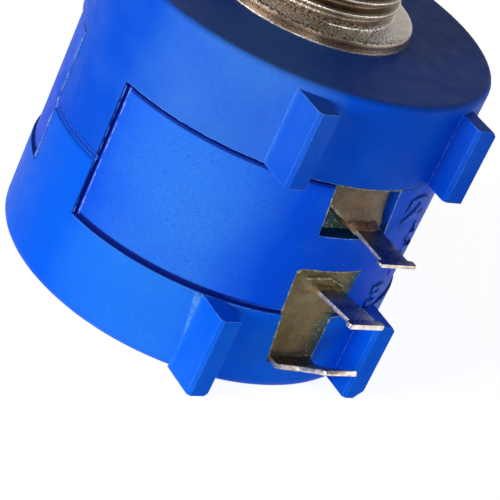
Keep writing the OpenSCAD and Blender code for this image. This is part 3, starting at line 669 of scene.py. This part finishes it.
def front_compound(material):
    """The front pocket's compound: low at the right wall, and open in the lower left corner."""
    def depth_at(x, z, from_left, to_right, from_top):
        depth = 0.20 + 0.55 * math.exp(-to_right / 0.45) * min(1.0, from_top / 0.5)
        depth -= 0.10 * math.exp(-from_left / 0.18) + 0.12 * math.exp(-from_top / 0.20)
        depth -= 0.22 * math.exp(-max(0.0, z - FRONT_LUG_Z) / 0.5)
        open_corner = (LUG_X + 1.0 - x) * 0.60 + (-9.05 - z)
        if open_corner > 0:
            depth += min(1.0, open_corner * 3.0)
        return depth
    left = [(FRONT_TOP_Z, -1.98), (FRONT_LOW_Z, -1.63)]
    right = [(FRONT_TOP_Z, 2.38), (FRONT_LOW_Z, 2.83)]
    compound("front_potting", "front_epoxy", left, right, depth_at, material, 0.65)


def rear_compound(material):
    """The compound round the middle lug, which runs down the rear shell's slot."""
    def depth_at(x, z, from_left, to_right, from_top):
        depth = 0.32 - 0.24 * math.exp(-from_left / 0.15) - 0.14 * math.exp(-from_top / 0.12)
        climb = 0.42 if z < REAR_SKIRT_Z else 0.28
        depth -= climb * math.exp(-to_right / 0.30)
        depth -= 0.50 * lug_creep(x, z, 0.35, MIDDLE_LUG_Z, 0.95)
        depth -= 0.35 * lug_creep(x, z, 0.2, REAR_LUG_Z, 1.3)
        return depth
    left = [(RECESS_TOP_Z, -1.59), (RECESS_TOP_Z - 0.25, -1.84), (REAR_SKIRT_Z, -1.64),
            (SLOT_LOW_Z, -1.24)]
    right = [(RECESS_TOP_Z, 2.39), (REAR_SKIRT_Z + 0.1, 2.19), (REAR_SKIRT_Z, 1.64),
             (SLOT_LOW_Z, 1.64)]
    compound("rear_potting", "rear_epoxy", left, right, depth_at, material, 0.46)


# ---------------------------------------------------------------- flash and numerals

def bead(name, path, radius, material, seed, broken=0.35):
    """A thin uneven line of flash or resin along a path, in millimetres; a broken one thins out
    between lumps."""
    around = 6
    verts = []
    for i, spot in enumerate(path):
        spot = Vector(spot)
        ahead = Vector(path[min(i + 1, len(path) - 1)]) - Vector(path[max(i - 1, 0)])
        out = Vector((spot.x, spot.y, 0)).normalized()
        side = ahead.cross(out).normalized()
        up = side.cross(ahead).normalized()
        lump = noise.noise(Vector((spot.x * 3.1 + seed, spot.y * 3.1, spot.z * 3.1)))
        size = radius * (0.45 + 1.5 * max(-0.2, lump + broken))
        for k in range(around):
            a = 2 * math.pi * k / around
            verts.append(spot + (up * math.sin(a) + side * math.cos(a)) * size)
    piece(name, verts, tube_faces(len(path), around), material, HOUSING)


def ring_path(r, z, a0, a1):
    """A path round the axis, with a point at each degree."""
    count = max(2, int(abs(a1 - a0)))
    return [(r * math.cos(math.radians(a0 + (a1 - a0) * i / count)),
             r * math.sin(math.radians(a0 + (a1 - a0) * i / count)), z)
            for i in range(count + 1)]


def upright_path(r, angle, z0, z1):
    """A path along the axis, at an angle round it."""
    turn, count = math.radians(angle), 60
    return [(r * math.cos(turn), r * math.sin(turn), z0 + (z1 - z0) * i / count)
            for i in range(count + 1)]


def front_path(r, corners):
    """A path on the lugs' side of a cylinder through (x, z) corners."""
    path, step = [], 0.07
    for (x0, z0), (x1, z1) in zip(corners, corners[1:]):
        count = max(2, int(math.hypot(x1 - x0, z1 - z0) / step))
        for i in range(count if (x1, z1) != corners[-1] else count + 1):
            x, z = x0 + (x1 - x0) * i / count, z0 + (z1 - z0) * i / count
            path.append((x, -math.sqrt(r * r - x * x), z))
    return path


def flash(highlight_blue, panel_edge_highlight, worn_edge):
    """Flash along the shells' edges round both panels, lighter than the shells as a painted
    highlight, and pale beads on the panels' side edges as painted highlights; the rear shell's slot
    interrupts the flash.
    """
    reach, sunk, past, fine, coarse = PANEL_HALF_ANGLE - 0.2, 0.02, 0.01, 0.020, 0.055
    skin_r = BODY_R - sunk
    low, high = REAR_SKIRT_Z + 0.2, FRONT_SKIRT_Z - 0.2
    for side, middle, arm_size, arm_blue in (("lugs", LUG_SIDE, fine, highlight_blue),
                                             ("back", FAR_SIDE, coarse, worn_edge)):
        a0, a1 = middle - reach, middle + reach
        bead(f"flash_front_{side}", ring_path(skin_r, FRONT_SKIRT_Z + past, a0, a1),
             fine, highlight_blue, 1.3 + middle)
        for part, b0, b1 in (("a", a0, middle - 8.7), ("b", middle + 8.6, a1)):
            bead(f"flash_rear_{side}_{part}", ring_path(skin_r, REAR_SKIRT_Z - past, b0, b1),
                 fine, highlight_blue, 4.7 + middle)
        for part, way in (("a", -1), ("b", 1)):
            bead(f"flash_arm_{side}_{part}",
                 upright_path(skin_r, middle + way * (PANEL_HALF_ANGLE + 0.05), low, high),
                 arm_size, arm_blue, middle + way)
            bead(f"flash_panel_{side}_{part}",
                 upright_path(PANEL_R - sunk, middle + way * (PANEL_HALF_ANGLE - 1.2), low, high),
                 coarse, panel_edge_highlight, middle + 5 * way, broken=0.25)


def ring_strip(name, radii, heights, a0, a1, material, ragged=0.02):
    """A strip round the axis between two radii and two heights, with a ragged outer face."""
    (inner, outer), (low, high) = radii, heights
    verts, step = [], 0.8
    count = max(2, int((a1 - a0) / step))
    for i in range(count + 1):
        a = math.radians(a0 + (a1 - a0) * i / count)
        rough = outer + noise.noise(Vector((a * 12, low, 0.3))) * ragged
        verts += [(r * math.cos(a), r * math.sin(a), z) for r, z in
                  ((inner, low), (rough, low), (rough, high), (inner, high))]
    piece(name, verts, tube_faces(count + 1, 4), material, HOUSING, smooth=False)


def seam_fill(navy, side_navy, band_blue):
    """Dark blue strips inside the seams, below the surface, as painted shade, and a blue strip that
    fills the groove where the arms meet and is darker as painted shade; the openings interrupt the
    seams' strips.
    """
    gap, side_gap, arm_reach, arm_half_h = 0.20, 0.85, 13.6, 0.13
    for side, middle in (("lugs", LUG_SIDE), ("back", FAR_SIDE)):
        first, last = middle - PANEL_HALF_ANGLE, middle + PANEL_HALF_ANGLE
        for rank, z, sunk, open0, open1 in (
                ("front", FRONT_SKIRT_Z - gap, 0.06, middle - 10.9, middle + 12.9),
                ("rear", REAR_SKIRT_Z, 0.015, middle - 8.9, middle + 11.7)):
            for part, a0, a1 in (("a", first, open0), ("b", open1, last)):
                ring_strip(f"seam_{rank}_{side}_{part}", (BED_R, PANEL_R - sunk), (z, z + gap),
                           a0, a1, navy)
        for part, a0, a1 in (("a", first, first + side_gap), ("b", last - side_gap, last)):
            ring_strip(f"seam_side_{side}_{part}", (BED_R, PANEL_R - 0.02),
                       (REAR_SKIRT_Z, FRONT_SKIRT_Z), a0, a1, side_navy, 0.0)
    for side, middle in (("left", LEFT_SIDE), ("right", RIGHT_SIDE)):
        ring_strip(f"seam_arm_{side}", (10.80, BODY_R - 0.11),
                   (SEAM_Z - arm_half_h, SEAM_Z + arm_half_h),
                   middle - arm_reach, middle + arm_reach, band_blue)


def resin_rims(resin, pale):
    """Ragged rims of set resin and of flash round the two openings."""
    diagonal = front_path(PANEL_R - 0.17, [(-1.80, -7.10), (-0.95, -7.62), (-0.10, -8.16)])
    along_lug = [(-0.10 - 0.006 * i, -PANEL_R + 0.12 - 0.07 * i, -8.19) for i in range(12)]
    middle_root = [(-1.30, -11.72), (0.30, -11.58), (1.55, -12.10), (1.75, -12.60)]
    for name, path, radius, material, seed, broken in (
            ("front_top", front_path(BODY_R, [(-1.95, -5.80), (2.3, -5.80)]),
             0.045, resin, 2.0, 0.10),
            ("front_left", front_path(PANEL_R, [(-1.98, -5.95), (-1.70, -8.40)]),
             0.045, resin, 3.0, 0.10),
            ("front_right", front_path(PANEL_R, [(2.42, -6.0), (2.82, -8.95)]),
             0.026, pale, 4.0, 0.15),
            ("lug_left", diagonal + along_lug, 0.110, resin, 12.0, 0.22),
            ("front_low", front_path(PANEL_R, [(-1.66, -9.04), (2.2, -9.04)]),
             0.030, pale, 5.0, 0.1),
            ("rear_top", front_path(PANEL_R, [(-1.85, -11.45), (-1.58, -11.18), (2.38, -11.18)]),
             0.055, resin, 6.0, 0.15),
            ("rear_left", front_path(PANEL_R, [(-1.85, -11.5), (-1.66, -14.0)]),
             0.045, resin, 7.0, 0.10),
            ("slot_left", front_path(BODY_R, [(-1.66, -14.15), (-1.28, -16.9)]),
             0.050, resin, 8.0, 0.10),
            ("slot_right", front_path(BODY_R, [(1.62, -14.15), (1.66, -17.0)]),
             0.045, resin, 9.0, 0.05),
            ("slot_corner", front_path(BODY_R, [(1.62, -14.14), (2.2, -14.12)]),
             0.040, resin, 9.5, 0.05),
            ("middle_root", front_path(PANEL_R + 0.03, middle_root), 0.075, resin, 10.5, 0.25)):
        bead(f"rim_{name}", path, radius, material, seed, broken)


def numeral(text, azimuth, z, height, stretch, top, outline_shade):
    """A raised terminal number with a dark outline, painted shade round its sides, wrapped round
    the panel, where it looks narrower from the camera than it is; stretch makes it wider."""
    cap_height = 0.72               # of the built-in font, as a share of its size
    for name, offset, lift, material in ((f"raised_{text}", 0.0, 0.10, top),
                                         (f"outline_{text}", 0.16, 0.03, outline_shade)):
        curve = bpy.data.curves.new(name, "FONT")
        curve.body = text
        curve.size = height / cap_height * MM
        curve.offset = offset * MM
        curve.extrude = lift * 0.6 * MM
        curve.bevel_depth = lift * 0.4 * MM
        curve.bevel_resolution = 1
        curve.align_x = "CENTER"
        flat = bpy.data.objects.new("flat", curve)
        bpy.context.scene.collection.objects.link(flat)
        bpy.context.view_layer.update()
        mesh = bpy.data.meshes.new_from_object(flat)
        bpy.data.objects.remove(flat)
        for v in mesh.vertices:
            angle = math.radians(azimuth) + v.co.x * stretch / (PANEL_R * MM)
            r = PANEL_R * MM + v.co.z
            v.co = Vector((r * math.cos(angle), r * math.sin(angle),
                           z * MM + v.co.y - height / 2 * MM))
        mesh.materials.clear()
        mesh.materials.append(material)
        obj = bpy.data.objects.new(name, mesh)
        bpy.context.scene.collection.objects.link(obj)
        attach(obj, HOUSING)


def raised_line(top, outline_shade):
    """A raised line with a zigzag between the numbers, with a dark outline, painted shade round its
    sides.
    """
    corners = [(-58.5, -8.7), (-56.5, -9.1), (-60.0, -9.6), (-56.5, -10.1), (-58.5, -10.5),
               (-58.5, -12.4)]
    steps = 12
    for name, r, radius, material in (("raised_line", PANEL_R + 0.01, 0.06, top),
                                      ("outline_line", PANEL_R - 0.09, 0.15, outline_shade)):
        path = []
        for (a0, z0), (a1, z1) in zip(corners, corners[1:]):
            for i in range(steps):
                a, z = math.radians(a0 + (a1 - a0) * i / steps), z0 + (z1 - z0) * i / steps
                path.append((r * math.cos(a), r * math.sin(a), z))
        bead(name, path, radius, material, 11.0)


# ---------------------------------------------------------------- CAD nodes that stay

def paint(material, *nodes):
    """Gives CAD nodes a material."""
    for node in nodes:
        obj = frame["nodes"][node]
        obj.data.materials.clear()
        obj.data.materials.append(material)


def paint_cad():
    """The materials of the CAD nodes that no piece replaces."""
    steel = turned_steel("turned_steel")
    bronze = sheet_metal("spring_bronze", (0.72, 0.50, 0.28), (0.52, 0.33, 0.17))
    tin = sheet_metal("tinned_strip", (0.60, 0.57, 0.52), (0.34, 0.30, 0.25))
    ivory = nylon("nylon")
    paint(moulded_blue("front_shell_blue", (0.0, 0.088, 0.74), (0.046, 0.205, 0.78),
                       clean_r=10.93, arms=True), "front_shell")
    paint(moulded_blue("rear_shell_blue", (0.0, 0.128, 0.90), (0.024, 0.232, 0.92),
                       clean_r=10.93, arms=True), "rear_shell")
    paint(moulded_blue("panel_blue", (0.0, 0.088, 0.86), (0.036, 0.225, 0.92),
                       panel=True, clean_r=10.92), "element_housing")
    paint(steel, "shaft", "retaining_ring", "guide_rail")
    paint(bronze, "thrust_washer", "contact_rail", "wiper_contact", "return_contact",
          "slip_ring", "slip_ring_brush", "rear_bearing")
    paint(tin, "front_tap", "rear_tap")
    paint(ivory, "rotor", "wiper_carriage")
    paint(wound_wire("wound_wire"), "resistance_element")


# ---------------------------------------------------------------- studio

def camera():
    """The photograph's camera."""
    data = bpy.data.cameras.new("camera")
    data.sensor_width = 36.0
    data.lens = CAMERA_LENS
    data.clip_start = 0.005
    data.clip_end = 20.0
    obj = bpy.data.objects.new("camera", data)
    obj.matrix_world = Matrix((
        (CAMERA_RIGHT.x, -CAMERA_DOWN.x, -CAMERA_FORWARD.x, CAMERA_SPOT.x),
        (CAMERA_RIGHT.y, -CAMERA_DOWN.y, -CAMERA_FORWARD.y, CAMERA_SPOT.y),
        (CAMERA_RIGHT.z, -CAMERA_DOWN.z, -CAMERA_FORWARD.z, CAMERA_SPOT.z),
        (0, 0, 0, 1)))
    bpy.context.scene.collection.objects.link(obj)
    bpy.context.scene.camera = obj


def soft_light(name, azimuth, elevation, distance, size, power):
    """A white area lamp that faces the body's middle."""
    a, e = math.radians(azimuth), math.radians(elevation)
    middle = Vector((0, 0, -0.009))
    away = Vector((math.cos(e) * math.cos(a), math.cos(e) * math.sin(a), math.sin(e)))
    data = bpy.data.lights.new(name, "AREA")
    data.shape = "SQUARE"
    data.size = size
    data.energy = power
    obj = bpy.data.objects.new(name, data)
    obj.location = middle + away * distance
    obj.rotation_euler = away.to_track_quat("Z", "Y").to_euler()
    bpy.context.scene.collection.objects.link(obj)


def mirror_rays(tree, rays):
    """1 for glossy and transmission rays, and 0 for the others."""
    either = tree.nodes.new("ShaderNodeMath")
    either.operation = "MAXIMUM"
    tree.links.new(rays.outputs["Is Glossy Ray"], either.inputs[0])
    tree.links.new(rays.outputs["Is Transmission Ray"], either.inputs[1])
    return either.outputs[0]


def world():
    """Pale surroundings, dimmer overhead and brighter in mirrors, and plain white where the
    camera sees them."""
    scene = bpy.context.scene
    scene.world = bpy.data.worlds.new("studio")
    scene.world.use_nodes = True
    tree = scene.world.node_tree
    tree.nodes.clear()
    output = tree.nodes.new("ShaderNodeOutputWorld")
    around = tree.nodes.new("ShaderNodeBackground")
    seen = tree.nodes.new("ShaderNodeBackground")
    seen.inputs["Color"].default_value = (1, 1, 1, 1)
    where = tree.nodes.new("ShaderNodeTexCoord")
    split = tree.nodes.new("ShaderNodeSeparateXYZ")
    ramp = tree.nodes.new("ShaderNodeMapRange")
    for key, number in (("From Min", 0.30), ("From Max", 0.62), ("To Min", 0.60), ("To Max", 0.02)):
        ramp.inputs[key].default_value = number
    rays = tree.nodes.new("ShaderNodeLightPath")
    mirrored = mirror_rays(tree, rays)
    gain = tree.nodes.new("ShaderNodeMath")
    gain.operation = "MULTIPLY_ADD"
    gain.inputs[1].default_value = 0.65
    gain.inputs[2].default_value = 1.0
    strength = tree.nodes.new("ShaderNodeMath")
    strength.operation = "MULTIPLY"
    choose = tree.nodes.new("ShaderNodeMixShader")
    link = tree.links.new
    link(where.outputs["Generated"], split.inputs[0])
    link(split.outputs["Z"], ramp.inputs["Value"])
    link(mirrored, gain.inputs[0])
    link(gain.outputs[0], strength.inputs[0])
    link(ramp.outputs["Result"], strength.inputs[1])
    link(strength.outputs[0], around.inputs["Strength"])
    link(rays.outputs["Is Camera Ray"], choose.inputs[0])
    link(around.outputs[0], choose.inputs[1])
    link(seen.outputs[0], choose.inputs[2])
    link(choose.outputs[0], output.inputs["Surface"])


def floor():
    """A pale floor that reads as white and keeps the object's soft shadow."""
    half, z = 1.5, REAR_Z * MM
    mesh = bpy.data.meshes.new("floor")
    mesh.from_pydata([(-half, -half, z), (half, -half, z), (half, half, z), (-half, half, z)],
                     [], [(0, 1, 2, 3)])
    material = bpy.data.materials.new("pale_floor")
    material.use_nodes = True
    tree = material.node_tree
    tree.nodes.clear()
    output = tree.nodes.new("ShaderNodeOutputMaterial")
    diffuse = tree.nodes.new("ShaderNodeBsdfDiffuse")
    diffuse.inputs["Color"].default_value = (0.80, 0.80, 0.80, 1)
    glow = tree.nodes.new("ShaderNodeEmission")
    rays = tree.nodes.new("ShaderNodeLightPath")
    strength = tree.nodes.new("ShaderNodeMath")
    strength.operation = "MULTIPLY"
    strength.inputs[1].default_value = 0.86
    seen = tree.nodes.new("ShaderNodeMath")
    seen.operation = "MAXIMUM"
    both = tree.nodes.new("ShaderNodeAddShader")
    link = tree.links.new
    link(rays.outputs["Is Camera Ray"], seen.inputs[0])
    link(mirror_rays(tree, rays), seen.inputs[1])
    link(seen.outputs[0], strength.inputs[0])
    link(strength.outputs[0], glow.inputs["Strength"])
    link(diffuse.outputs[0], both.inputs[0])
    link(glow.outputs[0], both.inputs[1])
    link(both.outputs[0], output.inputs["Surface"])
    mesh.materials.append(material)
    obj = bpy.data.objects.new("floor", mesh)
    bpy.context.scene.collection.objects.link(obj)


def studio():
    """Camera, surroundings, floor and lamps."""
    camera()
    world()
    floor()
    soft_light("key", -174, 3, 0.30, 0.14, 0.83)
    soft_light("front_fill", -120, 2, 0.35, 0.12, 0.40)
    soft_light("right_fill", -40, 3, 0.35, 0.16, 0.18)
    bpy.context.scene.view_settings.view_transform = "Standard"


paint_cad()
bushing()

dark_tin = lug_metal("tinned_lug", (0.24, 0.25, 0.30), (0.085, 0.09, 0.125), (0.22, 0.42))
cut_edge = lug_metal("cut_lug_edge", (0.92, 0.86, 0.76), (0.60, 0.50, 0.40), (0.26, 0.48),
                     creep=0.45)
pale_tin = lug_metal("pale_tinned_lug", (0.34, 0.36, 0.41), (0.13, 0.14, 0.18), (0.22, 0.42))
lug("stamped_front_lug", "front_lug", (0.80, 1.70), (0.56, 1.75, 2.38), FRONT_LUG_Z, -9.3, 3, 0.0,
    (0.26, 0.20), [dark_tin, cut_edge], 1.0, creep=1.25)
lug("stamped_middle_lug", "middle_lug", (0.40, 1.80), (0.56, 1.75, 2.28), MIDDLE_LUG_Z, -9.3, 6,
    0.0, (0.28, 0.28), [pale_tin, cut_edge], 2.0)
lug("stamped_rear_lug", "rear_lug", (0.20, 2.65), (0.30, 1.70, 2.15), REAR_LUG_Z, -8.3, 33, 0.7,
    (0.30, 0.28), [dark_tin, cut_edge], 3.0)
rear_lug_leg(dark_tin)

front_epoxy = potting_epoxy("front_resin", (0.118, 0.078, 0.044), (0.215, 0.152, 0.095),
                            (0.27, 0.120, 0.055))
rear_epoxy = potting_epoxy("rear_resin", (0.160, 0.118, 0.038), (0.255, 0.200, 0.080),
                           (0.23, 0.135, 0.045))
front_compound(front_epoxy)
rear_compound(rear_epoxy)
resin_collar("front_collar", 0.80, FRONT_LUG_Z, 0.84, (0.65, 0.50), front_epoxy, 1.0)
resin_collar("middle_collar", 0.40, MIDDLE_LUG_Z, 0.90, (0.45, 0.30), rear_epoxy, 4.0)

# painted shade: dark strips in the seams, and a darker strip in the arms' groove
seam_fill(moulded_blue("seam_shade_navy", (0.0, 0.005, 0.15), (0.0, 0.007, 0.17), highlight=0.0),
          moulded_blue("side_seam_shade_navy", (0.0, 0.010, 0.31), (0.0, 0.014, 0.35), highlight=0.0),
          moulded_blue("arm_seam_shade_blue", (0.0, 0.050, 0.55), (0.0, 0.062, 0.58)))
resin_rims(burr_plastic("set_resin_rim", (0.12, 0.12, 0.040), (0.46, 0.46, 0.28)),
           burr_plastic("pale_burr", (0.03, 0.18, 0.70), (0.30, 0.50, 0.90)))
# painted highlight: the flash is lighter than the shells, and the panel beads are pale lines
flash(moulded_blue("flash_highlight_blue", (0.02, 0.17, 0.88), (0.06, 0.28, 0.96)),
      burr_plastic("panel_edge_highlight", (0.06, 0.18, 0.80), (0.20, 0.34, 0.90)),
      burr_plastic("worn_edge", (0.0, 0.08, 0.32), (0.16, 0.38, 0.80)))

numeral_top = moulded_blue("numeral_blue", (0.02, 0.12, 0.78), (0.05, 0.18, 0.88))
# painted shade: the dark outlines round the raised numbers and line
numeral_outline_shade = moulded_blue("outline_shade_blue", (0.0, 0.018, 0.27), (0.0, 0.024, 0.32), highlight=0.0)
numeral("2", -63.5, -7.4, 1.5, 1.9, numeral_top, numeral_outline_shade)
numeral("3", -62.0, -13.3, 1.35, 1.7, numeral_top, numeral_outline_shade)
raised_line(numeral_top, numeral_outline_shade)

studio()
